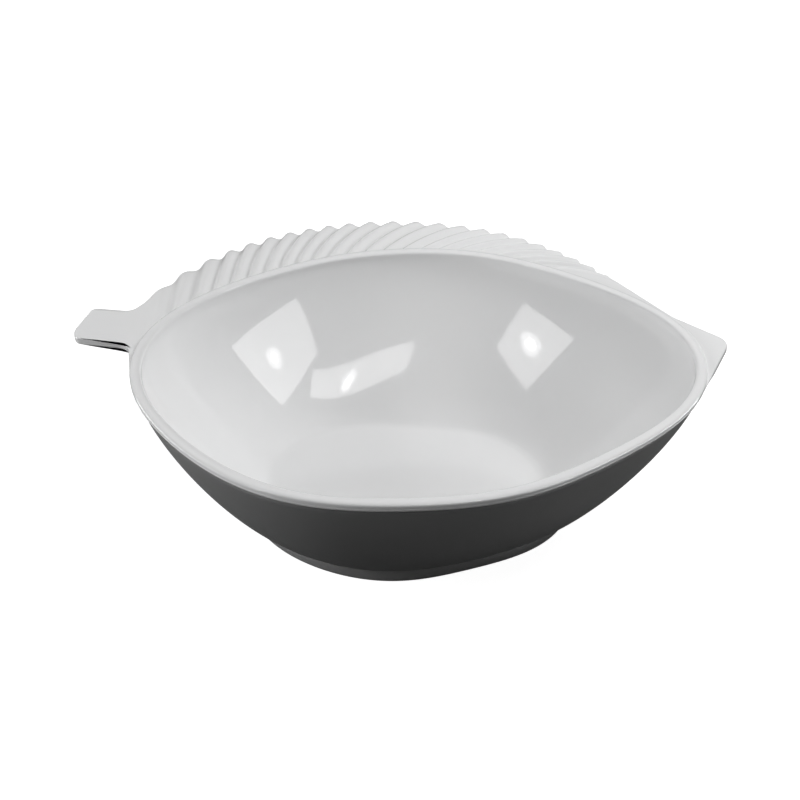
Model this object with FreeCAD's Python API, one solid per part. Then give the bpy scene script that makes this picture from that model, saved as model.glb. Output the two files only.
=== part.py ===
import FreeCAD, Part
import math
import os

os.makedirs("parts", exist_ok=True)

# A one-compartment serving bowl in the outline of a leaf.  Millimetres, +Z up,
# the foot stands on z = 0, the stem tab points to -X, the tip to +X and the
# ribbed flange lies along the back, +Y.

# ---- overall sizes -------------------------------------------------------
bowl_height = 97.0          # table to the crest of the rim bead
opening_centre_x = 9.8      # centre of the opening and floor, so that the
opening_centre_y = -18.71   # whole piece is centred on the origin
opening_mean_radius = 126.0
# The outline is a circle with gentle waves: (waves round the rim, height, turn in degrees).
opening_waves = (
    (2, 15.6, 7.0),         # longer than it is wide
    (3, 1.6, 6.0),          # fuller at one end
    (4, 3.7, 1.0),          # drawn out to soft corners at both ends
    (5, 1.1, 13.0),
    (6, 1.3, 1.0),
)

# ---- rim bead ------------------------------------------------------------
bead_width = 6.0
lip_height = 5.0            # visible thickness of the lip seen from the front
bead_side = 3.2             # upright part of both sides of the bead
bead_eased = 0.5            # rounding under the lip

# ---- walls, floor and foot -----------------------------------------------
wall_bulge = 1.3            # 1 is a straight cone, 2 a quarter ellipse
wall_inset = 1.6            # step from the lip back to the outer wall
shell_thickness = 2.2       # measured level, outer charcoal layer
floor_height = 14.5         # table to the eating surface
liner_floor = 2.5           # thickness of the white layer under the floor
floor_mean_radius = 63.0    # edge of the flat floor
floor_oval = 14.0
floor_shift = 3.0
inside_bulge = 1.3          # the inside flattens towards the floor, so the wall is thicker there
foot_height = 9.5
foot_mean_radius = 77.6
foot_shift = 4.5            # the foot sits this far towards the stem
foot_oval = 11.6            # longer than it is wide
foot_fuller = 2.0           # drawn out towards the tip
foot_corners = 2.0          # straighter along the sides
foot_ring_width = 6.0
foot_groove = 1.0           # shadow groove where foot and wall meet
hidden_corner_radius = 24.0 # where the two layers meet above the foot

# ---- flange, tab and tip ---------------------------------------------------
flange_top = 94.6
flange_thickness = 4.0
flange_width = 46.0         # widest place, bead included
flange_peak_angle = 118.0   # where the flange is widest
flange_fall_to_tip = 0.9
flange_fall_to_stem = 1.3
flange_power = 0.85
rib_count = 23
rib_first = 153.1           # outer edge of the flange where counting starts, degrees
rib_pitch = 4.97            # degrees from rib to rib
rib_wider = 0.69            # the first ribs by the stem stand wider apart
rib_wider_until = 3.5
rib_gather = 1.6            # degrees by which the ribs crowd towards the stem half way
rib_gather_at = 10.3
rib_gather_reach = 5.5
rib_half_height = 0.9
rib_groove = 1.5            # above 1 the ridges are broad and the grooves narrow
rib_fade_length = 1.3       # ribs over which the relief grows from nothing
rib_sweep = 14.0            # degrees a rib leans towards the tip
scallop_depth = 0.7
edge_drop = 1.2             # the outer edge of the flange rolls down

edge_round = 0.8            # eased edges of the tab and the tip

# Corners of the tab and the tip, from the centre of the opening: ((x, y), rounding).
stem_corners = (
    ((-161.5, 42.5), 7.0),
    ((-183.5, 44.5), 3.0),
    ((-188.5, 20.0), 12.0),
    ((-185.0, 14.0), 3.0),
    ((-155.5, 10.0), 9.0),
)
stem_root_low = 187.0       # degrees, where the tab's lower edge runs into the bead
tip_corners = (
    ((142.5, 52.5), 30.0),
    ((170.3, 29.5), 9.0),
)
tip_root_low = -7.0

AROUND = 96
centre = FreeCAD.Vector(opening_centre_x, opening_centre_y, 0)


def opening_radius(angle):
    """Inner edge of the rim, measured from the centre of the opening."""
    radius = opening_mean_radius
    for waves, height, turn in opening_waves:
        radius += height * math.cos(waves * (angle - math.radians(turn)))
    return radius


def foot_radius(angle):
    """Outer edge of the foot."""
    return (foot_mean_radius - foot_shift * math.cos(angle) + foot_oval * math.cos(2 * angle)
            + foot_fuller * math.cos(3 * angle) + foot_corners * math.cos(4 * angle))


def place(angle, radius, z):
    return centre + FreeCAD.Vector(radius * math.cos(angle), radius * math.sin(angle), z)


def ring_wire(radius_at, z):
    """A smooth closed curve at one height."""
    points = []
    for step in range(AROUND):
        angle = 2 * math.pi * step / AROUND
        points.append(place(angle, radius_at(angle), z))
    curve = Part.BSplineCurve()
    curve.interpolate(Points=points, PeriodicFlag=True)
    return Part.Wire([curve.toShape()])


def outer_wall_radius(angle, z):
    """The outside of the bowl between the foot and the lip."""
    rise = bowl_height - lip_height - foot_height
    share = (z - foot_height) / rise
    share = min(max(share, 0.0), 1.0)
    across = (1 - (1 - share) ** wall_bulge) ** (1 / wall_bulge)
    top = opening_radius(angle) + bead_width - wall_inset
    low = foot_radius(angle)
    return low + (top - low) * across


def floor_radius(angle):
    """Edge of the flat floor inside."""
    return floor_mean_radius + floor_oval * math.cos(2 * angle) - floor_shift * math.cos(angle)


def inner_wall_radius(angle, z):
    """The inside of the bowl between the floor and the lip."""
    share = (z - floor_height) / (bowl_height - lip_height - floor_height)
    share = min(max(share, 0.0), 1.0)
    across = (1 - (1 - share) ** inside_bulge) ** (1 / inside_bulge)
    low = floor_radius(angle)
    return low + (opening_radius(angle) - low) * across


def height_at(across, low, high, bulge):
    """Height where a wall curve has gone this share of the way outwards."""
    return low + (high - low) * (1 - (1 - across ** bulge) ** (1 / bulge))


def between_layers_body(extra_top):
    """Everything inside the charcoal shell: a corner above the foot, then parallel to the outside."""
    sections = []
    corner = hidden_corner_radius
    bottom_z = floor_height - liner_floor
    for degrees in (0, 12, 26, 42, 58, 74, 90):
        sweep = math.radians(degrees)
        z = bottom_z + corner * (1 - math.cos(sweep))
        back = shell_thickness + corner * (1 - math.sin(sweep))
        sections.append(ring_wire(lambda a, z=z, back=back: outer_wall_radius(a, z) - back, z))
    start = bottom_z + corner
    for share in (0.2, 0.4, 0.6, 0.8, 0.93, 1.0):
        z = start + (lip_under - start) * share
        sections.append(ring_wire(lambda a, z=z: outer_wall_radius(a, z) - shell_thickness, z))
    if extra_top > 0:
        z = lip_under + extra_top
        top = outer_wall_radius(0.0, lip_under) - opening_radius(0.0) - shell_thickness
        sections.append(ring_wire(lambda a: opening_radius(a) + top, z))
    return Part.makeLoft(sections, True, False)


# ---- bowl: charcoal shell outside, white liner inside ----------------------
lip_under = bowl_height - lip_height
wall_steps = (0.0, 0.03, 0.1, 0.2, 0.34, 0.5, 0.66, 0.8, 0.91, 0.975, 1.0)
outer_sections = []
for across in wall_steps:
    z = height_at(across, foot_height, lip_under, wall_bulge)
    outer_sections.append(ring_wire(lambda a, z=z: outer_wall_radius(a, z), z))
outer_body = Part.makeLoft(outer_sections, True, False)
inside_sections = []
for across in wall_steps:
    z = height_at(across, floor_height, lip_under, inside_bulge)
    inside_sections.append(ring_wire(lambda a, z=z: inner_wall_radius(a, z), z))
inside_sections.append(ring_wire(opening_radius, lip_under + 3.0))
inside = Part.makeLoft(inside_sections, True, False)
between_layers = between_layers_body(0.0)
between_tall = between_layers_body(3.0)

outer_shell = outer_body.cut(between_tall)
bowl_liner = between_layers.cut(inside)


# ---- rim bead ----------------------------------------------------------------
def bead_wire(offset, z):
    return ring_wire(lambda a: opening_radius(a) + offset, z)


bead_shoulder = lip_under + bead_side
crown_rise = bowl_height - bead_shoulder
bead_half = bead_width / 2
outside_sections = []
for degrees in (0, 30, 60, 90):
    turn = math.radians(degrees)
    inset = bead_eased * (1 - math.sin(turn))
    outside_sections.append(bead_wire(bead_width - inset,
                                      lip_under + bead_eased * (1 - math.cos(turn))))
hollow_sections = [bead_wire(0.0, lip_under - 0.8)]
for share in (0.0, 0.25, 0.5, 0.75, 0.92):
    z = lip_under + bead_side * share
    hollow_sections.append(bead_wire(0.0, z))
    if z > lip_under + bead_eased + 0.2:
        outside_sections.append(bead_wire(bead_width, z))
for degrees in (0, 20, 40, 60, 76):
    turn = math.radians(degrees)
    z = bead_shoulder + crown_rise * math.sin(turn)
    outside_sections.append(bead_wire(bead_half + bead_half * math.cos(turn), z))
    hollow_sections.append(bead_wire(bead_half - bead_half * math.cos(turn), z))
outside_sections.append(bead_wire(bead_half + 0.4, bowl_height))
hollow_sections.append(bead_wire(bead_half - 0.4, bowl_height))
hollow_sections.append(bead_wire(bead_half - 0.4, bowl_height + 2.0))
bead_outside_body = Part.makeLoft(outside_sections, True, False)
bead_hollow = Part.makeLoft(hollow_sections, True, False)
rim_bead = bead_outside_body.cut(bead_hollow)


# ---- foot ring -----------------------------------------------------------------
def foot_wire(inset, z):
    return ring_wire(lambda a: foot_radius(a) - inset, z)


foot_outside = Part.makeLoft(
    [foot_wire(1.0, 0.0), foot_wire(0.4, 0.4), foot_wire(0.1, 1.2), foot_wire(0.0, 4.0),
     foot_wire(0.1, 6.0), foot_wire(0.4, 7.3), foot_wire(foot_groove, foot_height)],
    True, False)
foot_inside = Part.makeLoft(
    [foot_wire(foot_ring_width, -2.0), foot_wire(foot_ring_width, foot_height + 2.0)], True, True)
foot_ring = foot_outside.cut(foot_inside)


# ---- ribbed flange ---------------------------------------------------------------
def bead_outside(angle):
    return opening_radius(angle) + bead_width


def flange_reach(angle):
    """How far the flange stands out from the opening, bead included."""
    away = math.degrees(angle) - flange_peak_angle
    fall = flange_fall_to_stem if away > 0 else flange_fall_to_tip
    return flange_width * max(math.cos(math.radians(away * fall)), 0.0) ** flange_power


def rib_edge(count):
    """Direction of the outer edge, in degrees, after this many ribs from the stem."""
    wider = rib_wider * max(rib_wider_until - count, 0.0) ** 2
    off = min(abs(count - rib_gather_at) / rib_gather_reach, 1.0)
    gather = rib_gather * math.cos(math.pi / 2 * off) ** 2
    return rib_first - rib_pitch * count + wider + gather


def rib_fade(count):
    """Ribs grow out of the smooth tab and die out into the smooth tip."""
    nearest = min(count, rib_count - count)
    return min(max(nearest / rib_fade_length, 0.0), 1.0)


def rib_wave(count):
    """1 on a ridge, -1 in a groove."""
    groove = (1 + math.cos(2 * math.pi * count)) / 2
    return (1 - 2 * groove ** rib_groove) * rib_fade(count)


def flange_point(count, across):
    """A point of the ribbed top: so many ribs from the stem, then across from the bead."""
    edge_degrees = rib_edge(count)
    wave = rib_wave(count)
    angle = math.radians(edge_degrees + rib_sweep * (1 - across))
    start = bead_outside(angle)
    edge = opening_radius(angle) + flange_reach(angle) + scallop_depth * wave * across ** 3
    radius = start + (edge - start) * across
    z = flange_top + rib_half_height * wave - edge_drop * across ** 8
    return place(angle, radius, z)


def between(low, high, count):
    return [low + (high - low) * step / count for step in range(count + 1)]


rib_steps = between(0.0, rib_count, rib_count * 8)
across_steps = (0.0, 0.15, 0.35, 0.55, 0.75, 0.88, 0.95, 1.0)
grid = [[flange_point(count, across) for across in across_steps] for count in rib_steps]
ribbed_top = Part.BSplineSurface()
ribbed_top.interpolate(grid)
veined_flange = ribbed_top.toShape().extrude(FreeCAD.Vector(0, 0, -flange_thickness))


# ---- stem tab and tip ----------------------------------------------------------------
def smooth_edge(points):
    curve = Part.BSplineCurve()
    curve.interpolate(Points=points)
    return curve.toShape()


def rounded_edges(start, corners, end):
    """Straight runs joined by tangent arcs."""
    edges = []
    here = start
    vertices = [centre + FreeCAD.Vector(x, y, flange_top) for (x, y), _ in corners]
    points = [start] + vertices + [end]
    for index, (_, radius) in enumerate(corners, start=1):
        before = (points[index - 1] - points[index]).normalize()
        after = (points[index + 1] - points[index]).normalize()
        half = before.getAngle(after) / 2
        reach = radius / math.tan(half)
        arc_start = points[index] + before * reach
        arc_end = points[index] + after * reach
        middle_way = (before + after).normalize()
        arc_middle = points[index] + middle_way * (radius / math.sin(half) - radius)
        edges.append(Part.LineSegment(here, arc_start).toShape())
        edges.append(Part.Arc(arc_start, arc_middle, arc_end).toShape())
        here = arc_end
    edges.append(Part.LineSegment(here, end).toShape())
    return edges


def bead_edge(from_degrees, to_degrees, count):
    return smooth_edge([place(math.radians(d), bead_outside(math.radians(d)), flange_top)
                        for d in between(from_degrees, to_degrees, count)])


def plate(seam_count, corners, root_low, bead_steps):
    """A flat plate between the ribbed part, the bead and a free outer edge."""
    seam = [flange_point(seam_count, across) for across in across_steps]
    seam = [FreeCAD.Vector(p.x, p.y, flange_top) for p in seam]
    low = math.radians(root_low)
    free_edges = rounded_edges(seam[-1], corners, place(low, bead_outside(low), flange_top))
    edges = [smooth_edge(seam)] + free_edges
    edges.append(bead_edge(root_low, rib_edge(seam_count) + rib_sweep, bead_steps))
    outline = Part.Wire(Part.__sortEdges__(edges))
    solid = Part.Face(outline).extrude(FreeCAD.Vector(0, 0, -flange_thickness))
    middles = [edge.valueAt((edge.FirstParameter + edge.LastParameter) / 2)
               for edge in free_edges]
    eased = []
    for edge in solid.Edges:
        point = edge.valueAt((edge.FirstParameter + edge.LastParameter) / 2)
        top = point + FreeCAD.Vector(0, 0, flange_top - point.z)
        flat_edge = abs(edge.BoundBox.ZLength) < 0.01
        if flat_edge and min(top.distanceToPoint(m) for m in middles) < 0.01:
            eased.append(edge)
    return solid.makeFillet(edge_round, eased)


stem_tab = plate(0, stem_corners, stem_root_low, 12)
leaf_tip = plate(rib_count, tip_corners, tip_root_low, 24)

# ---- write the pieces ------------------------------------------------------------------
pieces = {
    "bowl_liner": bowl_liner,
    "rim_bead": rim_bead,
    "veined_flange": veined_flange,
    "stem_tab": stem_tab,
    "leaf_tip": leaf_tip,
    "outer_shell": outer_shell,
    "foot_ring": foot_ring,
}
for name, shape in pieces.items():
    solids = shape.Solids
    if len(solids) == 1:
        shape = solids[0]
    box = shape.BoundBox
    print(name, "solids", len(solids), "valid", shape.isValid(), "volume",
          round(shape.Volume / 1000, 1), "cm3 box",
          [round(v, 1) for v in (box.XMin, box.XMax, box.YMin, box.YMax, box.ZMin, box.ZMax)])
    shape.exportStep("parts/" + name + ".step")
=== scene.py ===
# %% [markdown]
# # A leaf-shaped serving bowl
# The bowl is moulded ware: one glossy white moulding makes the inside, the rim bead, the ribbed
# flange, the stem tab and the tip, and a second moulding covers the outside. Its charcoal colour is
# painted shade, the darkness of an outside that faces down and away from the lights. A low ring is
# the foot, in a lighter grey that is painted shade as well. We start from the measured frame, so
# that every piece lands where the CAD says it is.

# %% Load the frame
import math

import bmesh
import bpy
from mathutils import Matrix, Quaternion, Vector


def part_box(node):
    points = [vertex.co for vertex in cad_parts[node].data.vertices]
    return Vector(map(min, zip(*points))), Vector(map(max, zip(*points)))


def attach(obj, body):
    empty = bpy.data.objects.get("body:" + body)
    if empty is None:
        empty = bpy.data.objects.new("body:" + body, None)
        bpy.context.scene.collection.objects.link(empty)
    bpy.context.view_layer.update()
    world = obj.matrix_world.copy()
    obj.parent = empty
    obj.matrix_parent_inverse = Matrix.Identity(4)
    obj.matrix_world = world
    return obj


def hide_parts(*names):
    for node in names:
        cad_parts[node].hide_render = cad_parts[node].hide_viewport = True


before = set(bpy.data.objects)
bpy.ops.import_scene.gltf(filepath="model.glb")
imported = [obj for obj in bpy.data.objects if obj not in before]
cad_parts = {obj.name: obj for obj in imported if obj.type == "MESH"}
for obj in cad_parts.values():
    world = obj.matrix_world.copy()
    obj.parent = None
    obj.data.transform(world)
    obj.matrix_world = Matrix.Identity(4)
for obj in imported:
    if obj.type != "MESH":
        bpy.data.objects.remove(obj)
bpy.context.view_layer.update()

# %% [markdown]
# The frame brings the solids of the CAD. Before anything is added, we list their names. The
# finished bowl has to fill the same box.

print("nodes:", sorted(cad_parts))

# %% [markdown]
# ## Outlines as formulas
# Nothing on the bowl is a true circle. Its outline could be traced point by point, but a circle
# with a few gentle waves on it gives the same soft leaf with five pairs of numbers, and it can be
# asked for its radius in any direction. All sizes here are millimetres, as a maker would say them.

# %% The rim outline
OPENING_X = 9.8
OPENING_Y = -18.71
OPENING_RADIUS = 126.0
OPENING_WAVES = (       # waves round the rim, their height, their turn in degrees
    (2, 15.6, 7.0),     # longer than it is wide
    (3, 1.6, 6.0),      # fuller at one end
    (4, 3.7, 1.0),      # drawn out to soft corners at both ends
    (5, 1.1, 13.0),
    (6, 1.3, 1.0),
)


def opening_radius(angle):
    """Inner edge of the rim, from the centre of the opening."""
    radius = OPENING_RADIUS
    for waves, height, turn in OPENING_WAVES:
        radius += height * math.cos(waves * (angle - math.radians(turn)))
    return radius


def place(angle, radius, z):
    """A point given by direction and distance from the centre of the opening."""
    return (OPENING_X + radius * math.cos(angle), OPENING_Y + radius * math.sin(angle), z)


print("opening, tip to stem:", round(opening_radius(0) + opening_radius(math.pi), 1), "mm")

# %% [markdown]
# The foot is a smaller oval of its own, not a shrunken rim: it is straighter along the sides and
# sits a little nearer to the stem. The same kind of formula draws it.

# %% The foot outline
FOOT_RADIUS = 77.6
FOOT_SHIFT = 4.5        # sits a little towards the stem
FOOT_OVAL = 11.6
FOOT_FULLER = 2.0       # drawn out towards the tip
FOOT_CORNERS = 2.0      # straighter along the sides


def foot_radius(angle):
    """Outer edge of the foot ring."""
    return (FOOT_RADIUS - FOOT_SHIFT * math.cos(angle) + FOOT_OVAL * math.cos(2 * angle)
            + FOOT_FULLER * math.cos(3 * angle) + FOOT_CORNERS * math.cos(4 * angle))


print("foot, tip to stem:", round(foot_radius(0) + foot_radius(math.pi), 1), "mm")

# %% [markdown]
# ## The wall
# The wall rises from the foot to the rim almost like a straight cone, with a slight belly. A
# power curve does that with one number: 1 is a cone, 2 a quarter of an ellipse. The inside uses the
# same curve from the floor's edge, which lies further in than the foot, so the wall grows thicker
# towards the foot, as heavy moulded ware does.

# %% Heights and the wall curves
rim_low, rim_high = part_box("rim_bead")
foot_low, foot_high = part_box("foot_ring")
LIP_UNDER = 1000 * rim_low.z
BOWL_TOP = 1000 * rim_high.z
FOOT_TOP = 1000 * foot_high.z
BEAD_WIDTH = 6.0
WALL_INSET = 1.6        # step from the lip back to the outer wall
WALL_BULGE = 1.3
SHELL_DEPTH = 2.2       # the outer layer, measured level
FLOOR_Z = 14.5
FLOOR_RADIUS = 63.0
FLOOR_OVAL = 14.0
FLOOR_SHIFT = 3.0


def curve_share(z, low, high):
    """How far outwards a wall has gone at a height."""
    share = min(max((z - low) / (high - low), 0.0), 1.0)
    return (1 - (1 - share) ** WALL_BULGE) ** (1 / WALL_BULGE)


def curve_height(across, low, high):
    """The height at which a wall has gone this far outwards."""
    return low + (high - low) * (1 - (1 - across ** WALL_BULGE) ** (1 / WALL_BULGE))


def wall_radius(angle, z):
    """Outside of the bowl between the foot and the lip."""
    top = opening_radius(angle) + BEAD_WIDTH - WALL_INSET
    low = foot_radius(angle)
    return low + (top - low) * curve_share(z, FOOT_TOP, LIP_UNDER)


def floor_radius(angle):
    """Edge of the flat floor inside."""
    return FLOOR_RADIUS + FLOOR_OVAL * math.cos(2 * angle) - FLOOR_SHIFT * math.cos(angle)


def inside_radius(angle, across):
    """Inside of the bowl, from the floor's edge at 0 to the lip at 1."""
    low = floor_radius(angle)
    return low + (opening_radius(angle) - low) * across


print("lip from", round(LIP_UNDER, 1), "to", round(BOWL_TOP, 1), "mm above the table")

# %% [markdown]
# ## The outer edge of the flange, the tip and the tab
# Seen from above, the edge of the white moulding runs in four stretches: the ribbed crescent, the
# tip, the plain lip along the front and the stem tab. Each column of the mesh needs to know where
# it leaves the bead and where it ends on that edge, so every stretch returns the same things: the
# direction it starts in, the direction it ends in, how far it stands out, and how strong its ribs
# are. The ribs are counted from the stem, and a whole number of ribs is always a groove.

# %% The ribbed crescent
FLANGE_WIDTH = 46.0     # widest place, bead included
FLANGE_PEAK = 118.0     # direction of the widest place, in degrees
FALL_TO_TIP = 0.9
FALL_TO_STEM = 1.3
FLANGE_POWER = 0.85
RIB_COUNT = 23
RIB_FIRST = 153.1
RIB_PITCH = 4.97        # degrees from rib to rib
RIB_WIDER = 0.69        # the first ribs by the stem stand wider apart
RIB_WIDER_UNTIL = 3.5
RIB_GATHER = 1.6        # degrees by which the ribs crowd towards the stem half way
RIB_GATHER_AT = 10.3
RIB_GATHER_REACH = 5.5
RIB_SWEEP = 14.0        # degrees a rib leans towards the tip
RIB_FADE = 1.3          # ribs over which the relief grows from nothing
COLUMNS_PER_RIB = 14


def rib_edge(count):
    """Direction of the outer edge, in degrees, after this many ribs from the stem."""
    wider = RIB_WIDER * max(RIB_WIDER_UNTIL - count, 0.0) ** 2
    off = min(abs(count - RIB_GATHER_AT) / RIB_GATHER_REACH, 1.0)
    gather = RIB_GATHER * math.cos(math.pi / 2 * off) ** 2
    return RIB_FIRST - RIB_PITCH * count + wider + gather


def bead_outside(angle):
    """Outer edge of the rim bead."""
    return opening_radius(angle) + BEAD_WIDTH


def flange_reach(angle):
    """How far the flange stands out past the bead."""
    away = math.degrees(angle) - FLANGE_PEAK
    fall = FALL_TO_STEM if away > 0 else FALL_TO_TIP
    reach = FLANGE_WIDTH * max(math.cos(math.radians(away * fall)), 0.0) ** FLANGE_POWER
    return reach - BEAD_WIDTH


flange_columns = []
for step in range(RIB_COUNT * COLUMNS_PER_RIB):
    count = step / COLUMNS_PER_RIB
    edge = rib_edge(count)
    flange_columns.append({
        "from": math.radians(edge + RIB_SWEEP),
        "to": math.radians(edge),
        "reach": flange_reach,
        "count": count,
        "rib": min(1.0, min(count, RIB_COUNT - count) / RIB_FADE),
    })
print("crescent columns:", len(flange_columns))

# %% [markdown]
# The tab and the tip are straight runs with rounded corners. We walk along them with evenly
# spaced steps, because a step that is much longer than its neighbours would show as a kink in
# the reflection.


# %% Straight runs with round corners
def rounded_walk(start, corners, end, spacing):
    """Evenly spaced points along straight runs joined by arcs."""
    runs = []
    points = [Vector(start)] + [Vector(corner) for corner, _ in corners] + [Vector(end)]
    here = points[0]
    for index, (_, radius) in enumerate(corners, start=1):
        before = (points[index - 1] - points[index]).normalized()
        after = (points[index + 1] - points[index]).normalized()
        half = before.angle(after) / 2
        arc_start = points[index] + before * radius / math.tan(half)
        arc_end = points[index] + after * radius / math.tan(half)
        middle = points[index] + (before + after).normalized() * radius / math.sin(half)
        runs.append([here, arc_start])
        first = arc_start - middle
        sweep = first.angle_signed(arc_end - middle)
        steps = max(3, round(abs(sweep) * radius / spacing))
        arc = []
        for step in range(steps + 1):
            turn = -sweep * step / steps
            cos, sin = math.cos(turn), math.sin(turn)
            arc.append(middle + Vector((first.x * cos - first.y * sin,
                                        first.x * sin + first.y * cos)))
        runs.append(arc)
        here = arc_end
    runs.append([here, points[-1]])
    walk = [runs[0][0]]
    for run in runs:
        for a, b in zip(run, run[1:]):
            steps = max(1, round((b - a).length / spacing))
            walk += [a.lerp(b, step / steps) for step in range(1, steps + 1)]
    return walk


def edge_column(point, start_angle):
    """A column that leaves the bead at start_angle and ends on a point of the free edge."""
    angle = math.atan2(point.y, point.x)
    while angle > start_angle + math.pi:
        angle -= 2 * math.pi
    while angle < start_angle - math.pi:
        angle += 2 * math.pi
    reach = point.length - bead_outside(angle)
    return {"from": start_angle, "to": angle, "reach": lambda _: reach, "count": 0.0, "rib": 0.0}


def polar(degrees, radius):
    """A point on the ground plan, from the centre of the opening."""
    return (radius * math.cos(math.radians(degrees)), radius * math.sin(math.radians(degrees)))


def seam_point(count):
    """Where the ribbed edge ends and a plain edge begins."""
    angle = math.radians(rib_edge(count))
    return polar(rib_edge(count), bead_outside(angle) + flange_reach(angle))


EDGE_SPACING = 1.2
print("the crescent ends at", [round(value, 1) for value in seam_point(RIB_COUNT)], "mm")

# %% [markdown]
# The tip is a flat point with two soft corners. It carries on from the last rib, so its first
# columns lean like the ribs, and they straighten on the way to the front.

# %% The tip
TIP_CORNERS = (((142.5, 52.5), 30.0), ((170.3, 29.5), 9.0))
TIP_LOW = -7.0          # direction, in degrees, where its edge runs back into the bead
TIP_STRAIGHTENS = 5.0
tip_end = polar(TIP_LOW, bead_outside(math.radians(TIP_LOW)))
tip_walk = rounded_walk(seam_point(RIB_COUNT), TIP_CORNERS, tip_end, EDGE_SPACING)
lean_span = rib_edge(RIB_COUNT) - TIP_STRAIGHTENS
tip_columns = []
for point in tip_walk[:-1]:
    degrees = math.degrees(math.atan2(point.y, point.x))
    lean = RIB_SWEEP * max(0.0, (degrees - TIP_STRAIGHTENS) / lean_span)
    tip_columns.append(edge_column(point, math.radians(degrees + lean)))
print("tip columns:", len(tip_columns))

# %% [markdown]
# The stem tab is the short handle. It is narrow and far from the centre, so columns that ran
# straight out would all crowd into it. Instead they leave the bead close together and fan out, and
# a small table says from which direction a column starts at each share of the way round the tab.

# %% The stem tab
STEM_CORNERS = (
    ((-161.5, 42.5), 7.0),
    ((-183.5, 44.5), 3.0),
    ((-188.5, 20.0), 12.0),
    ((-185.0, 14.0), 3.0),
    ((-155.5, 10.0), 9.0),
)
STEM_LOW = 187.0        # direction, in degrees, where its edge leaves the bead
STEM_STARTS = ((0.0, STEM_LOW), (0.27, 178.4), (0.72, 176.5), (1.0, rib_edge(0) + RIB_SWEEP))
stem_begin = polar(STEM_LOW, bead_outside(math.radians(STEM_LOW)))
stem_walk = rounded_walk(stem_begin, tuple(reversed(STEM_CORNERS)), seam_point(0), EDGE_SPACING)
walked = [0.0]
for a, b in zip(stem_walk, stem_walk[1:]):
    walked.append(walked[-1] + (b - a).length)


def stem_start(share):
    """Where a column of the tab leaves the bead, in degrees."""
    for (s0, d0), (s1, d1) in zip(STEM_STARTS, STEM_STARTS[1:]):
        if share <= s1:
            return d0 + (d1 - d0) * (share - s0) / (s1 - s0)
    return STEM_STARTS[-1][1]


stem_columns = []
for point, far in zip(stem_walk[:-1], walked):
    stem_columns.append(edge_column(point, math.radians(stem_start(far / walked[-1]) - 360.0)))
print("tab columns:", len(stem_columns))

# %% [markdown]
# Along the front there is no flange: the white moulding ends at the lip. These columns run
# straight out and stand out by nothing.

# %% The plain lip along the front
FRONT_STEP = 0.8
front_span = (TIP_LOW + 360.0) - STEM_LOW
front_count = round(front_span / FRONT_STEP)
front_columns = []
for step in range(front_count):
    angle = math.radians(TIP_LOW - front_span * step / front_count)
    front_columns.append({"from": angle, "to": angle, "reach": lambda _: 0.0,
                          "count": 0.0, "rib": 0.0})
columns = flange_columns + tip_columns + front_columns + stem_columns
print("columns all round:", len(columns))

# %% [markdown]
# ## Turning rows of points into a mesh
# A moulding like this can be sculpted, lofted from curves or cut from a block. Here the shape is
# known exactly at every place, so the cleanest surface is a net: rows of points that run all the
# way round the bowl, each joined to the next with four-sided faces. Every row has as many points
# as there are columns, so where the lip has no flange some rows lie on the same place, and the
# faces between them have no area. Blender then turns all faces outwards, because light and bump
# both read the side a face looks to.


# %% Helpers that weave rows into a closed skin
def net_faces(row_pairs, around):
    """Four-sided faces between pairs of rows."""
    faces = []
    for row, above in row_pairs:
        for column in range(around):
            beside = (column + 1) % around
            faces.append((row * around + column, row * around + beside,
                          above * around + beside, above * around + column))
    return faces


def piece_from_rows(name, rows, faces):
    """A smooth object from rows of points in millimetres."""
    points = [tuple(value / 1000 for value in point) for row in rows for point in row]
    mesh = bpy.data.meshes.new(name)
    mesh.from_pydata(points, [], faces)
    mesh.validate()
    net = bmesh.new()
    net.from_mesh(mesh)
    bmesh.ops.recalc_face_normals(net, faces=net.faces)
    volume = net.calc_volume(signed=True)
    net.to_mesh(mesh)
    net.free()
    mesh.shade_smooth()
    piece = bpy.data.objects.new(name, mesh)
    bpy.context.collection.objects.link(piece)
    print(name, "has", len(mesh.polygons), "faces and holds", round(volume * 1e6, 1), "cm3")
    return piece


def woven_piece(name, rows):
    """A skin whose first and last rows are closed over."""
    around = len(rows[0])
    faces = net_faces([(row, row + 1) for row in range(len(rows) - 1)], around)
    faces.append(tuple(reversed(range(around))))
    faces.append(tuple(range((len(rows) - 1) * around, len(rows) * around)))
    return piece_from_rows(name, rows, faces)


def loop_piece(name, rows):
    """A ring: the last row is joined to the first."""
    around = len(rows[0])
    faces = net_faces([(row, (row + 1) % len(rows)) for row in range(len(rows))], around)
    return piece_from_rows(name, rows, faces)


# %% [markdown]
# ## The white moulding
# Going outwards, one column of the moulding crosses the flat floor, the wall, the bead, the flange
# with its ribs, the free edge, the underside, and then the hidden back that lies against the
# outer layer. The wall rows stand closer together near the lip, where the wall turns upright.

# %% Inside: floor and wall
FLOOR_SHARES = (0.04, 0.2, 0.4, 0.6, 0.75, 0.86, 0.94, 1.0)
WALL_ROWS = 44
white_rows = []
for share in FLOOR_SHARES:
    white_rows.append([place(c["from"], share * floor_radius(c["from"]), FLOOR_Z) for c in columns])
for step in range(1, WALL_ROWS + 1):
    even = step / WALL_ROWS
    across = 0.5 * (even + math.sin(math.pi / 2 * even))
    z = curve_height(across, FLOOR_Z, LIP_UNDER)
    white_rows.append([place(c["from"], inside_radius(c["from"], across), z) for c in columns])
print("inside rows:", len(white_rows))

# %% [markdown]
# The bead is the raised roll round the opening. Its sides are upright and its crown is a little
# fuller than a half ellipse, which keeps the highlight along it broad.

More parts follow.
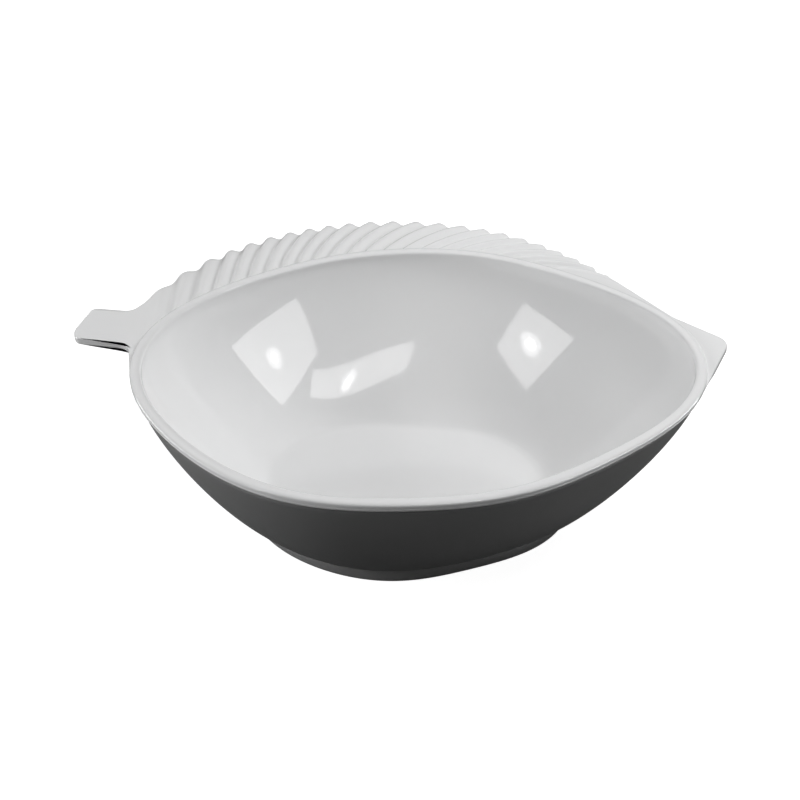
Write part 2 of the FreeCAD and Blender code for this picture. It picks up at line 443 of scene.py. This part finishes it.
# %% The bead
BEAD_SIDE = 3.2
BEAD_SIDE_STEPS = (1.1, 2.3)
CROWN_STEPS = 12
CROWN_FULLNESS = 0.8    # 1 is a half ellipse, less is fuller
BEAD_HALF = BEAD_WIDTH / 2
rim_shoulder = LIP_UNDER + BEAD_SIDE
crown = BOWL_TOP - rim_shoulder
for rise in BEAD_SIDE_STEPS:
    white_rows.append([place(c["from"], opening_radius(c["from"]), LIP_UNDER + rise)
                       for c in columns])
for step in range(CROWN_STEPS + 1):
    turn = math.pi * step / CROWN_STEPS
    z = rim_shoulder + crown * math.sin(turn) ** CROWN_FULLNESS
    offset = BEAD_HALF - BEAD_HALF * math.cos(turn)
    white_rows.append([place(c["from"], opening_radius(c["from"]) + offset, z) for c in columns])
print("bead crown is", round(crown, 2), "mm high")

# %% [markdown]
# The ribs could be a bump in the finish, but they also scallop the edge of the flange, so they are
# real relief: a wave across the counted ribs lifts the surface and pushes the edge out. Along the
# plain lip the same rows slide down the side of the lip instead of standing out, and `stands_out`
# blends softly between the two.

# %% The flange top with its ribs
FLANGE_TOP = 94.6
RIB_HALF_HEIGHT = 1.2
RIB_GROOVE = 1.1        # above 1 the ridges are broad and the grooves narrow
SCALLOP = 0.7
SCALLOP_GROWS = 3       # the scallops grow with this power of the way across
EDGE_DROP = 1.2
EDGE_DROP_GROWS = 8     # the edge rolls down late
EDGE_ROUND = 1.1
FULL_AT = 5.0           # a flange this wide is a full flange
ACROSS_STEPS = 16
LIP_DROP = 2.0          # the lip rolls under over this height
LIP_ROUND = 1.3         # and goes in by this much
LIP_SIDE_LOW = LIP_UNDER + LIP_DROP


def rib_wave(column):
    """1 on a ridge, -1 in a groove, 0 where the flange is plain."""
    groove = (1 + math.cos(2 * math.pi * column["count"])) / 2
    return (1 - 2 * groove ** RIB_GROOVE) * column["rib"]


def stands_out(column):
    """0 along the plain lip, 1 where there is a full flange, tab or tip."""
    share = min(max(column["reach"](column["to"]) / FULL_AT, 0.0), 1.0)
    return share * share * (3 - 2 * share)


def flange_place(column, across, pull_back, z, tuck=0.0):
    """A point so far across the flange; tuck draws it in under the lip."""
    angle = column["from"] + (column["to"] - column["from"]) * across
    reach = column["reach"](angle) + SCALLOP * rib_wave(column) * across ** SCALLOP_GROWS
    reach = max(reach - pull_back, 0.0)
    return place(angle, bead_outside(angle) + reach * across - tuck, z)


def top_height(column, across):
    """The ribbed top of the flange, or the side of the plain lip."""
    full = stands_out(column)
    drop = EDGE_DROP * across ** EDGE_DROP_GROWS * column["rib"]
    ribbed = FLANGE_TOP + RIB_HALF_HEIGHT * rib_wave(column) - drop
    side = FLANGE_TOP + (LIP_SIDE_LOW - FLANGE_TOP) * across
    return full * ribbed + (1 - full) * side


for step in range(ACROSS_STEPS + 1):
    across = step / ACROSS_STEPS
    white_rows.append([
        flange_place(c, across, EDGE_ROUND * stands_out(c), top_height(c, across))
        for c in columns])
print("rows with the flange top:", len(white_rows))

# %% [markdown]
# A moulded edge is never sharp. The flange edge is rounded above and below with quarter circles,
# and the plain lip rolls under, which makes its side darken downwards to the seam. The underside
# of the flange follows the ribs at an even thickness.

# %% The free edge and the underside
FLANGE_THICKNESS = 4.0
UNDER_ROUND = 0.6
EDGE_TURNS = (22.5, 45.0, 67.5, 90.0)
UNDER_TURNS = (0.0, 18.0, 36.0, 54.0, 72.0, 90.0)
UNDER_ACROSS = (0.9, 0.75, 0.6, 0.45, 0.3, 0.15, 0.0)


def under_height(column, across):
    """The underside of the flange, or of the plain lip."""
    full = stands_out(column)
    ribbed = top_height(column, across) - FLANGE_THICKNESS
    return full * ribbed + (1 - full) * LIP_UNDER


for degrees in EDGE_TURNS:
    turn = math.radians(degrees)
    row = []
    for c in columns:
        ease = EDGE_ROUND * stands_out(c)
        z = top_height(c, 1.0) - ease * (1 - math.cos(turn))
        row.append(flange_place(c, 1.0, ease * (1 - math.sin(turn)), z))
    white_rows.append(row)
for degrees in UNDER_TURNS:
    turn = math.radians(degrees)
    inwards = 1 - math.cos(turn)
    row = []
    for c in columns:
        full = stands_out(c)
        rolled = UNDER_ROUND * full + LIP_DROP * (1 - full)
        z = under_height(c, 1.0) + rolled * (1 - math.sin(turn))
        row.append(flange_place(c, 1.0, UNDER_ROUND * inwards * full, z,
                                LIP_ROUND * inwards * (1 - full)))
    white_rows.append(row)
for across in UNDER_ACROSS:
    white_rows.append([
        flange_place(c, across, UNDER_ROUND * stands_out(c), under_height(c, across),
                     LIP_ROUND * (1 - stands_out(c)))
        for c in columns])
print("rows with the underside:", len(white_rows))

# %% [markdown]
# Nobody sees the back of the white layer, but it makes the moulding a closed solid of the right
# thickness. It follows the outer wall at the depth of the outer layer and turns in above the
# foot with a round corner.

# %% The hidden back against the outer layer
TUCK = 1.0
BACK_HEIGHTS = (85.0, 70.0, 55.0, 42.0)
BACK_TURNS = (65.0, 40.0, 18.0, 0.0)
UNDER_LINER_Z = 12.0
HIDDEN_CORNER = 24.0
CENTRE_RADIUS = 4.0     # the last row is closed with one small face


def corner_place(angle, turn):
    """A point on the hidden round corner; turn is 0 below and a quarter turn where it ends."""
    z = UNDER_LINER_Z + HIDDEN_CORNER * (1 - math.cos(turn))
    inset = SHELL_DEPTH + HIDDEN_CORNER * (1 - math.sin(turn))
    return place(angle, wall_radius(angle, z) - inset, z)


white_rows.append([
    place(c["from"], wall_radius(c["from"], LIP_UNDER) - TUCK, under_height(c, 0.0))
    for c in columns])
for z in (*BACK_HEIGHTS, UNDER_LINER_Z + HIDDEN_CORNER):
    white_rows.append([place(c["from"], wall_radius(c["from"], z) - SHELL_DEPTH, z)
                       for c in columns])
for degrees in BACK_TURNS:
    white_rows.append([corner_place(c["from"], math.radians(degrees)) for c in columns])
white_rows.append([place(c["from"], CENTRE_RADIUS, UNDER_LINER_Z) for c in columns])
white_moulding = woven_piece("white_moulding", white_rows)
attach(white_moulding, "root")
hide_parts("bowl_liner", "rim_bead", "veined_flange", "stem_tab", "leaf_tip")

# %% [markdown]
# ## The outside in painted shade
# The outer layer is a second net of rows, coloured charcoal as painted shade, because the outside
# faces down and away from the lights. It starts under the liner, comes up behind it and tucks into
# the lip. Then it runs down the outside to the foot and closes underneath. Just below the lip the
# wall draws in a little, which leaves the dark line that separates the white from the painted
# shade.

# %% Rows of the outside in painted shade
AROUND = 480
SEAM_DEPTH = 1.0        # the wall draws in under the lip and leaves a shadow line
SEAM_HEIGHT = 3.0
BEHIND_TURNS = (0.0, 25.0, 50.0, 72.0, 90.0)
BEHIND_HEIGHTS = (48.0, 62.0, 76.0, 88.0)
TUCKED_ROWS = ((1.2, 0.6), (SEAM_DEPTH, 0.4))   # how far in, how far up inside the lip
OUTSIDE_ROWS = 48
ROWS_GATHER = 1.8       # rows stand closer together near the lip
UNDER_INSETS = (0.5, 7.0)
turns = [2 * math.pi * (1 - step / AROUND) for step in range(AROUND)]


def ring(radius_at, z):
    """A row of points at one height."""
    return [place(turn, radius_at(turn), z) for turn in turns]


painted_shade_rows = [ring(lambda a: CENTRE_RADIUS, UNDER_LINER_Z)]
for degrees in BEHIND_TURNS:
    painted_shade_rows.append([corner_place(turn, math.radians(degrees)) for turn in turns])
for z in BEHIND_HEIGHTS:
    painted_shade_rows.append(ring(lambda a: wall_radius(a, z) - SHELL_DEPTH, z))
for inset, up in TUCKED_ROWS:
    painted_shade_rows.append(ring(lambda a: wall_radius(a, LIP_UNDER) - inset, LIP_UNDER + up))
for step in range(OUTSIDE_ROWS + 1):
    across = 1 - (step / OUTSIDE_ROWS) ** ROWS_GATHER
    z = curve_height(across, FOOT_TOP, LIP_UNDER)
    near_lip = max(0.0, 1 - (LIP_UNDER - z) / SEAM_HEIGHT)
    inset = SEAM_DEPTH * near_lip * near_lip
    painted_shade_rows.append(ring(lambda a: wall_radius(a, z) - inset, z))
for inset in UNDER_INSETS:
    painted_shade_rows.append(ring(lambda a: foot_radius(a) - inset, FOOT_TOP))
painted_shade_rows.append(ring(lambda a: 0.5 * foot_radius(a), FOOT_TOP))
painted_shade_rows.append(ring(lambda a: CENTRE_RADIUS, FOOT_TOP))
# This piece carries the charcoal painted shade that darkens the outside of the white bowl.
outside_in_painted_shade = woven_piece("outside_in_painted_shade", painted_shade_rows)
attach(outside_in_painted_shade, "root")
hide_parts("outer_shell")

# %% [markdown]
# ## The foot ring
# The ring is a closed loop with a small section: flat below where it stands, upright outside, and
# drawn in at the top, which leaves the thin shadow line under the wall.

# %% Foot rows
FOOT_GAP = 0.1          # it ends this far below the wall, so the two never share a face
FOOT_SECTION = (        # inset from the foot's edge, height
    (6.0, FOOT_TOP - FOOT_GAP), (6.0, 0.6), (5.6, 0.0), (1.3, 0.0), (0.8, 0.12), (0.4, 0.45),
    (0.1, 1.2), (0.0, 4.0), (0.1, FOOT_TOP - 2.0), (0.4, FOOT_TOP - 0.8),
    (1.0, FOOT_TOP - FOOT_GAP),
)
foot_rows = [ring(lambda a: foot_radius(a) - inset, z) for inset, z in FOOT_SECTION]
# The foot's grey finish is painted shade, a little lighter than the outside because its upright
# side catches more light.
foot_ring_piece = loop_piece("foot_ring_in_painted_shade", foot_rows)
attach(foot_ring_piece, "root")
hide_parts("foot_ring")

# %% [markdown]
# ## Finishes
# All three finishes come out of the same kind of polished steel mould, so they share one effect:
# a very shallow ripple in the skin and patches where the gloss is a little duller from handling
# and washing. It is built once as a group and used with its own values in each material.


# %% The moulded skin group
def moulded_skin_group():
    """A node group: slightly uneven colour and gloss, and the height of a shallow ripple."""
    group = bpy.data.node_groups.new("moulded_skin", "ShaderNodeTree")
    face = group.interface
    for socket in ("Ripple Scale", "Patch Scale", "Gloss Low", "Gloss High"):
        face.new_socket(socket, in_out="INPUT", socket_type="NodeSocketFloat")
    for socket in ("Colour A", "Colour B"):
        face.new_socket(socket, in_out="INPUT", socket_type="NodeSocketColor")
    face.new_socket("Colour", in_out="OUTPUT", socket_type="NodeSocketColor")
    face.new_socket("Roughness", in_out="OUTPUT", socket_type="NodeSocketFloat")
    face.new_socket("Height", in_out="OUTPUT", socket_type="NodeSocketFloat")
    nodes, links = group.nodes, group.links
    inside = nodes.new("NodeGroupInput")
    out = nodes.new("NodeGroupOutput")
    where = nodes.new("ShaderNodeTexCoord")
    ripple = nodes.new("ShaderNodeTexNoise")
    ripple.inputs["Detail"].default_value = 2.0
    patch = nodes.new("ShaderNodeTexNoise")
    patch.inputs["Detail"].default_value = 5.0
    patch.inputs["Roughness"].default_value = 0.6
    links.new(where.outputs["Object"], ripple.inputs["Vector"])
    links.new(where.outputs["Object"], patch.inputs["Vector"])
    links.new(inside.outputs["Ripple Scale"], ripple.inputs["Scale"])
    links.new(inside.outputs["Patch Scale"], patch.inputs["Scale"])
    spread = nodes.new("ShaderNodeMapRange")
    spread.inputs["From Min"].default_value = 0.3
    spread.inputs["From Max"].default_value = 0.7
    links.new(patch.outputs["Fac"], spread.inputs["Value"])
    links.new(inside.outputs["Gloss Low"], spread.inputs["To Min"])
    links.new(inside.outputs["Gloss High"], spread.inputs["To Max"])
    tint = nodes.new("ShaderNodeMix")
    tint.data_type = "RGBA"
    links.new(patch.outputs["Fac"], tint.inputs["Factor"])
    links.new(inside.outputs["Colour A"], tint.inputs["A"])
    links.new(inside.outputs["Colour B"], tint.inputs["B"])
    links.new(tint.outputs["Result"], out.inputs["Colour"])
    links.new(spread.outputs["Result"], out.inputs["Roughness"])
    links.new(ripple.outputs["Fac"], out.inputs["Height"])
    return group


moulded_skin = moulded_skin_group()
print("group outputs:", [s.name for s in moulded_skin.interface.items_tree if s.in_out == "OUTPUT"])

# %% [markdown]
# The white is polished like a mirror, with a roughness of a few hundredths, because lights show in
# it with crisp edges. The outside is satin, coloured charcoal as painted shade for an outside that
# faces down, away from the lights. The foot is the same satin in a lighter grey, also painted
# shade, lighter because its upright side catches more light.


# %% A finish made with the group
def finish(name, colours, gloss, scales, bump):
    """A material with the moulded skin: two colours, low and high gloss, ripple and patch scale."""
    material = bpy.data.materials.new(name)
    material.use_nodes = True
    nodes, links = material.node_tree.nodes, material.node_tree.links
    shader = nodes["Principled BSDF"]
    skin = nodes.new("ShaderNodeGroup")
    skin.node_tree = moulded_skin
    skin.inputs["Ripple Scale"].default_value = scales[0]
    skin.inputs["Patch Scale"].default_value = scales[1]
    skin.inputs["Gloss Low"].default_value = gloss[0]
    skin.inputs["Gloss High"].default_value = gloss[1]
    skin.inputs["Colour A"].default_value = (*colours[0], 1.0)
    skin.inputs["Colour B"].default_value = (*colours[1], 1.0)
    raised = nodes.new("ShaderNodeBump")
    raised.inputs["Strength"].default_value = 1.0
    raised.inputs["Distance"].default_value = bump
    links.new(skin.outputs["Colour"], shader.inputs["Base Color"])
    links.new(skin.outputs["Roughness"], shader.inputs["Roughness"])
    links.new(skin.outputs["Height"], raised.inputs["Height"])
    links.new(raised.outputs["Normal"], shader.inputs["Normal"])
    return material


POLISHED_BUMP = 0.00001
SATIN_BUMP = 0.00002
white_finish = finish(
    "polished_white", ((0.78, 0.785, 0.79), (0.82, 0.82, 0.82)),
    (0.035, 0.07), (90.0, 14.0), POLISHED_BUMP)
# Painted shade: the charcoal colour gives the outside the darkness of a white surface facing away
# from the lights.
outside_painted_shade_finish = finish(
    "satin_charcoal_painted_shade", ((0.175, 0.176, 0.178), (0.205, 0.206, 0.208)),
    (0.36, 0.44), (300.0, 20.0), SATIN_BUMP)
# Painted shade: a lighter grey for the foot, whose upright side catches more light than the wall
# above it.
foot_painted_shade_finish = finish(
    "satin_grey_painted_shade", ((0.225, 0.225, 0.227), (0.255, 0.255, 0.257)),
    (0.38, 0.5), (300.0, 24.0), SATIN_BUMP)
white_moulding.data.materials.append(white_finish)
outside_in_painted_shade.data.materials.append(outside_painted_shade_finish)
foot_ring_piece.data.materials.append(foot_painted_shade_finish)
print("finishes:", white_finish.name, outside_painted_shade_finish.name, foot_painted_shade_finish.name)

# %% [markdown]
# ## The table
# A bright table would light the bowl from below and wash out its dark outside. So the table has
# two faces: to the camera it glows a little and looks nearly white, and to every other ray it is
# a dark board. The Light Path node tells the two apart. From below it is clear, so that the
# underside of the bowl can be looked at.

# %% The pale table
TABLE_HALF = 3.0
TABLE_GLOW = 0.93
BOARD_GREY = 0.16
table_mesh = bpy.data.meshes.new("pale_table")
table_mesh.from_pydata(
    [(-TABLE_HALF, -TABLE_HALF, 0.0), (TABLE_HALF, -TABLE_HALF, 0.0),
     (TABLE_HALF, TABLE_HALF, 0.0), (-TABLE_HALF, TABLE_HALF, 0.0)],
    [], [(0, 1, 2, 3)])
pale_table = bpy.data.objects.new("pale_table", table_mesh)
bpy.context.collection.objects.link(pale_table)
table_paint = bpy.data.materials.new("pale_table_paint")
table_paint.use_nodes = True
nodes, links = table_paint.node_tree.nodes, table_paint.node_tree.links
seen_face = nodes["Principled BSDF"]
seen_face.inputs["Base Color"].default_value = (0.35, 0.35, 0.35, 1.0)
seen_face.inputs["Roughness"].default_value = 0.9
seen_face.inputs["Emission Color"].default_value = (1.0, 1.0, 1.0, 1.0)
seen_face.inputs["Emission Strength"].default_value = TABLE_GLOW
board_face = nodes.new("ShaderNodeBsdfDiffuse")
board_face.inputs["Color"].default_value = (BOARD_GREY, BOARD_GREY, BOARD_GREY, 1.0)
rays = nodes.new("ShaderNodeLightPath")
from_above = nodes.new("ShaderNodeMixShader")
links.new(rays.outputs["Is Camera Ray"], from_above.inputs["Fac"])
links.new(board_face.outputs["BSDF"], from_above.inputs[1])
links.new(seen_face.outputs["BSDF"], from_above.inputs[2])
clear_face = nodes.new("ShaderNodeBsdfTransparent")
side_of_table = nodes.new("ShaderNodeNewGeometry")
table_skin = nodes.new("ShaderNodeMixShader")
links.new(side_of_table.outputs["Backfacing"], table_skin.inputs["Fac"])
links.new(from_above.outputs["Shader"], table_skin.inputs[1])
links.new(clear_face.outputs["BSDF"], table_skin.inputs[2])
links.new(table_skin.outputs["Shader"], nodes["Material Output"].inputs["Surface"])
table_mesh.materials.append(table_paint)
print("table is", 2 * TABLE_HALF, "m wide")

# %% [markdown]
# ## The lights
# Glossy ware is judged by what it mirrors, so what the gloss shows is kept apart from what shades
# the bowl. Three soft panels in front only show in the gloss: they make the window-like highlights
# on the inside. A small bright spot and a wider, weaker one stand just in front of each panel, as
# where a bulb shines through cloth. Their faces are given by how bright they look, because that
# is what a mirror sees, whatever their size.


# %% Panels that show in the gloss
def soft_panel(name, at, towards, wide, high, radiance, roll=0.0, shape="RECTANGLE"):
    """An area light given by how bright its face looks."""
    filled = math.pi / 4 if shape == "ELLIPSE" else 1.0
    light = bpy.data.lights.new(name, "AREA")
    light.shape = shape
    light.size = wide
    light.size_y = high
    light.energy = radiance * math.pi * wide * high * filled
    lamp = bpy.data.objects.new(name, light)
    bpy.context.collection.objects.link(lamp)
    lamp.location = at
    lamp.rotation_mode = "QUATERNION"
    facing = (Vector(at) - Vector(towards)).to_track_quat("Z", "Y")
    lamp.rotation_quaternion = facing @ Quaternion((0.0, 0.0, 1.0), math.radians(roll))
    return lamp


PANELS = (      # name, place, what it faces, width, height, roll in degrees
    ("right", (0.641, -0.349, 0.431), (-0.073, 0.045, 0.051), 0.38, 0.30, 10.0),
    ("front", (0.276, -0.492, 0.684), (-0.030, 0.054, 0.036), 0.51, 0.13, -21.0),
    ("left", (-0.504, -0.429, 0.539), (0.076, 0.060, 0.054), 0.20, 0.27, -13.0),
)
PANEL_GLOW = 4.2
ROUND_GLOWS = (     # name, size, glow, share of the way in front of the panel
    ("bulb_", 0.03, 40.0, 0.02),
    ("halo_", 0.08, 5.0, 0.01),
)
for side, at, towards, wide, high, roll in PANELS:
    panel = soft_panel("panel_" + side, at, towards, wide, high, PANEL_GLOW, roll)
    panel.visible_diffuse = False
    for kind, size, glow, ahead in ROUND_GLOWS:
        near = Vector(at).lerp(Vector(towards), ahead)
        spot = soft_panel(kind + side, near, towards, size, size, glow, shape="ELLIPSE")
        spot.visible_diffuse = False
print("mirrored lights:", len(PANELS) * (1 + len(ROUND_GLOWS)))

# %% [markdown]
# The lights that shade the bowl stand left, right, behind and above. Apart from the large one
# overhead they are hidden from the gloss, so that they add no more windows to the inside. Two low
# strips at the sides do the opposite: they only show in the gloss, as a sheen on the satin outside.

# %% Lights that shade the bowl
BOWL_MIDDLE = (0.0, 0.0, 0.07)
SHADING = (     # name, place, what it faces, width, height, glow
    ("overhead", (0.0, 0.25, 1.2), (0.0, 0.25, 0.0), 1.8, 1.5, 0.33),
    ("left_light", (-1.0, -0.35, 0.45), BOWL_MIDDLE, 0.5, 0.4, 9.3),
    ("left_low", (-0.9, -0.1, 0.22), BOWL_MIDDLE, 0.5, 0.25, 2.3),
    ("right_light", (1.0, -0.5, 0.6), BOWL_MIDDLE, 0.5, 0.4, 2.5),
    ("right_high", (0.7, 0.2, 1.0), BOWL_MIDDLE, 0.5, 0.5, 12.2),
    ("back_light", (-0.2, 1.1, 0.45), BOWL_MIDDLE, 1.2, 0.6, 0.8),
)
STRIPS = (("strip_left", -0.45, 9.0), ("strip_right", 0.45, 11.0))
STRIP_LONG = 0.6
STRIP_HIGH = 0.1
STRIP_Y = -0.2
STRIP_Z = 0.06
for name, at, towards, wide, high, glow in SHADING:
    lamp = soft_panel(name, at, towards, wide, high, glow)
    lamp.visible_glossy = name == "overhead"
for name, x, glow in STRIPS:
    strip = soft_panel(name, (x, STRIP_Y, STRIP_Z), (0.0, STRIP_Y, STRIP_Z),
                       STRIP_LONG, STRIP_HIGH, glow)
    strip.visible_diffuse = False

# %% [markdown]
# The room itself is dim, so that the lights alone shape the bowl, but the wall behind the table
# looks as pale as the table. The world gets the same two faces as the table.

# %% The room
ROOM_GLOW = 0.03
world = bpy.data.worlds.new("soft_room")
bpy.context.scene.world = world
world.use_nodes = True
nodes, links = world.node_tree.nodes, world.node_tree.links
dim_room = nodes["Background"]
dim_room.inputs["Color"].default_value = (1.0, 1.0, 1.0, 1.0)
dim_room.inputs["Strength"].default_value = ROOM_GLOW
pale_wall = nodes.new("ShaderNodeBackground")
pale_wall.inputs["Color"].default_value = (1.0, 1.0, 1.0, 1.0)
pale_wall.inputs["Strength"].default_value = 1.0
rays = nodes.new("ShaderNodeLightPath")
either = nodes.new("ShaderNodeMixShader")
links.new(rays.outputs["Is Camera Ray"], either.inputs["Fac"])
links.new(dim_room.outputs["Background"], either.inputs[1])
links.new(pale_wall.outputs["Background"], either.inputs[2])
links.new(either.outputs["Shader"], nodes["World Output"].inputs["Surface"])
bpy.context.scene.view_settings.view_transform = "Standard"
print("room glow:", ROOM_GLOW)

# %% [markdown]
# ## The camera
# It looks down on the bowl from the front, as a guest at the table would, with a moderately long
# lens that keeps the leaf outline from bending.

# %% The camera
SENSOR_MM = 36.0
LENS_MM = 58.5
camera_at = Vector((0.0321, -0.5874, 0.4833))
look_at = Vector((0.0002, 0.0209, 0.0407))
camera_data = bpy.data.cameras.new("camera")
camera_data.sensor_width = SENSOR_MM
camera_data.lens = LENS_MM
camera = bpy.data.objects.new("camera", camera_data)
bpy.context.collection.objects.link(camera)
camera.location = camera_at
camera.rotation_mode = "QUATERNION"
camera.rotation_quaternion = (camera_at - look_at).to_track_quat("Z", "Y")
bpy.context.scene.camera = camera
print("camera is", round((camera_at - look_at).length, 3), "m away")
